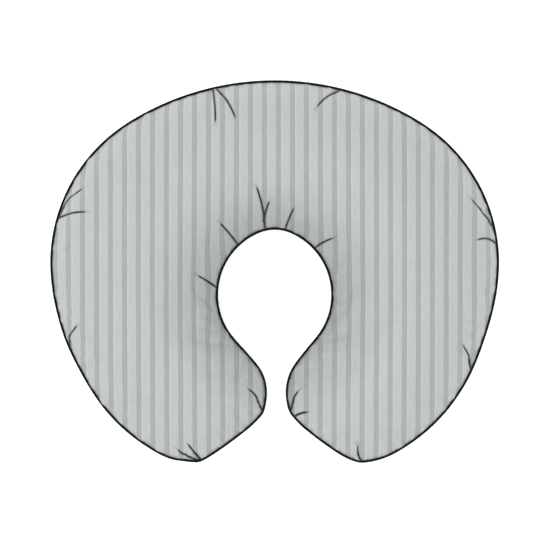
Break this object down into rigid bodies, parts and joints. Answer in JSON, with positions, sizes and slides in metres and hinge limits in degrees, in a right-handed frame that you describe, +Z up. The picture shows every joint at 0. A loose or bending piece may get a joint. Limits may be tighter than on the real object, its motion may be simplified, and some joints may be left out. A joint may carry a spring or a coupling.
{
  "type": "nursing pillow",
  "caption": "C-shaped nursing pillow: striped two-panel cover with piped seam and back zip over a fibre-filled liner.",
  "frame": {"origin": "on the floor, below the middle of the pillow's plan", "axes": "+Z up from the floor it rests on, +Y towards the closed back, so the opening faces -Y, and X across the width from arm to arm"},
  "size_m": [0.5382, 0.458, 0.145],
  "materials": {
    "cover_fabric": "woven cotton, sage grey with darker stripes",
    "piping_twill": "black cotton twill bias strip",
    "piping_cord": "undyed cotton cord",
    "zip_tape": "woven polyester tape, matched to the cover",
    "zip_nylon": "nylon coil, satin",
    "zip_metal": "plated zinc, satin",
    "label_satin": "white satin, blank",
    "liner_cloth": "plain white non-woven cloth",
    "fill_fibre": "lofted polyester fibre"
  },
  "bodies": {
    "pillow": {"cover_top_panel": "cover_fabric", "cover_bottom_panel": "cover_fabric", "piping_bias_strip": "piping_twill", "piping_filler_cord": "piping_cord", "zip_tape_upper": "zip_tape", "zip_tape_lower": "zip_tape", "zip_coil_upper": "zip_nylon", "zip_coil_lower": "zip_nylon", "zip_top_stop_upper": "zip_metal", "zip_top_stop_lower": "zip_metal", "zip_bottom_stop": "zip_metal", "liner_top_panel": "liner_cloth", "liner_bottom_panel": "liner_cloth", "fill_core": "fill_fibre"},
    "slider": {"zip_slider_body": "zip_metal"},
    "pull": {"zip_pull_tab": "zip_metal"},
    "label": {"care_label": "label_satin"}
  },
  "joints": [
    {"name": "zip_travel", "type": "hinge", "parent": "pillow", "child": "slider", "pos_m": [0, -0.10239, 0.062], "axis": [0, 0, 1], "range_deg": [0, 48.2]},
    {"name": "pull_swing", "type": "hinge", "parent": "slider", "child": "pull", "pos_m": [0.13421, 0.19752, 0.05294], "axis": [-0.1643, -0.3672, -0.9155], "range_deg": [0, 165]},
    {"name": "label_flap", "type": "hinge", "parent": "pillow", "child": "label", "pos_m": [-0.23836, 0.10876, 0.05931], "axis": [0.5075, 0.8616, 0], "range_deg": [0, 60]}
  ]
}
